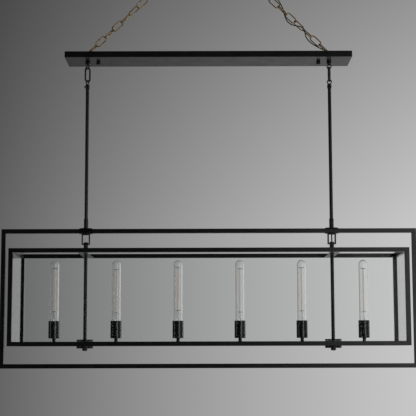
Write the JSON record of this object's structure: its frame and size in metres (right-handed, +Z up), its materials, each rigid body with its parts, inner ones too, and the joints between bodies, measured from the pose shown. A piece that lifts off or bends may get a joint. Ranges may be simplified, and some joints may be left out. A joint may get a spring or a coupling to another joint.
{
  "type": "linear island pendant light",
  "caption": "Black linear island pendant: glazed cage of tubular bulbs in a flat outer frame, on stems and swivel loops under a shallow canopy that a brass chain hangs from one ceiling hook.",
  "frame": {"origin": "middle of the ceiling plate's upper face, where the fixture meets the ceiling", "axes": "+Z up, +X along the fixture's length, +Y from its front to its back"},
  "size_m": [1.524, 0.28, 1.6427],
  "materials": {
    "frame_black": "semi-gloss black powder coat",
    "clip": "clear, moulded",
    "socket_black": "gloss black paint",
    "holder": "glazed porcelain",
    "chain_brass": "antique, half polished",
    "plate": "semi-gloss black powder coat",
    "cord_black": "smooth sheath",
    "bushing": "moulded",
    "pane_glass": "clear",
    "bulb_glass": "clear",
    "bulb_cap": "nickel-bright",
    "connector": "moulded",
    "ground": "green zinc"
  },
  "bodies": {
    "suspension": {"ceiling_plate": "plate", "ceiling_hook": "chain_brass", "chain_left": "chain_brass", "chain_right": "chain_brass", "chain_top_link": "chain_brass", "power_cord": "cord_black", "cord_tail": "cord_black", "cord_bushings": "bushing", "mounting_strap": "frame_black", "canopy": "frame_black", "chain_eyes": "chain_brass", "canopy_loops": "frame_black", "strap_nuts": "frame_black", "wire_connectors": "connector", "ground_screw": "ground"},
    "left_link": {"swivel_link_left": "frame_black"},
    "right_link": {"swivel_link_right": "frame_black"},
    "fixture": {"stem_loops": "frame_black", "stem_loop_screws": "frame_black", "stem_left": "frame_black", "stem_right": "frame_black", "stem_ferrules": "frame_black", "frame_washers": "frame_black", "outer_top_bar": "frame_black", "outer_bottom_bar": "frame_black", "outer_left_post": "frame_black", "outer_right_post": "frame_black", "yokes": "frame_black", "yoke_cap_nuts": "frame_black", "rod_couplings": "frame_black", "cross_plates": "frame_black", "cage_top_rails": "frame_black", "cage_bottom_rails": "frame_black", "cage_posts": "frame_black", "socket_rail": "frame_black", "cage_rods": "frame_black", "rod_collars": "frame_black", "finials": "frame_black", "glass_front": "pane_glass", "glass_rear": "pane_glass", "glass_ends": "pane_glass", "glass_clips": "clip", "socket_necks": "frame_black", "socket_covers": "socket_black", "lamp_holders": "holder", "lamp_wires": "cord_black"},
    "left_knob": {"canopy_knob_left": "frame_black"},
    "right_knob": {"canopy_knob_right": "frame_black"},
    "bulb_1": {"bulb_1_glass": "bulb_glass", "bulb_1_base": "bulb_cap"},
    "bulb_2": {"bulb_2_glass": "bulb_glass", "bulb_2_base": "bulb_cap"},
    "bulb_3": {"bulb_3_glass": "bulb_glass", "bulb_3_base": "bulb_cap"},
    "bulb_4": {"bulb_4_glass": "bulb_glass", "bulb_4_base": "bulb_cap"},
    "bulb_5": {"bulb_5_glass": "bulb_glass", "bulb_5_base": "bulb_cap"},
    "bulb_6": {"bulb_6_glass": "bulb_glass", "bulb_6_base": "bulb_cap"}
  },
  "joints": [
    {"name": "left_link_swing", "type": "hinge", "parent": "suspension", "child": "left_link", "pos_m": [-0.452, 0, -0.52878], "axis": [1, 0, 0], "range_deg": [-20, 20]},
    {"name": "right_link_swing", "type": "hinge", "parent": "suspension", "child": "right_link", "pos_m": [0.452, 0, -0.52878], "axis": [1, 0, 0], "range_deg": [-20, 20]},
    {"name": "fixture_swing", "type": "hinge", "parent": "left_link", "child": "fixture", "pos_m": [-0.452, 0, -0.57969], "axis": [1, 0, 0], "range_deg": [-20, 20]},
    {"name": "left_knob_unscrew", "type": "slide", "parent": "suspension", "child": "left_knob", "axis": [0, 0, -1], "range_m": [0, 0.012]},
    {"name": "right_knob_unscrew", "type": "slide", "parent": "suspension", "child": "right_knob", "axis": [0, 0, -1], "range_m": [0, 0.012]},
    {"name": "bulb_1_unscrew", "type": "slide", "parent": "fixture", "child": "bulb_1", "axis": [0, 0, 1], "range_m": [0, 0.028]},
    {"name": "bulb_2_unscrew", "type": "slide", "parent": "fixture", "child": "bulb_2", "axis": [0, 0, 1], "range_m": [0, 0.028]},
    {"name": "bulb_3_unscrew", "type": "slide", "parent": "fixture", "child": "bulb_3", "axis": [0, 0, 1], "range_m": [0, 0.028]},
    {"name": "bulb_4_unscrew", "type": "slide", "parent": "fixture", "child": "bulb_4", "axis": [0, 0, 1], "range_m": [0, 0.028]},
    {"name": "bulb_5_unscrew", "type": "slide", "parent": "fixture", "child": "bulb_5", "axis": [0, 0, 1], "range_m": [0, 0.028]},
    {"name": "bulb_6_unscrew", "type": "slide", "parent": "fixture", "child": "bulb_6", "axis": [0, 0, 1], "range_m": [0, 0.028]}
  ],
  "couplings": [
    {"joint": "right_link_swing", "follows": "left_link_swing", "ratio": 1}
  ]
}
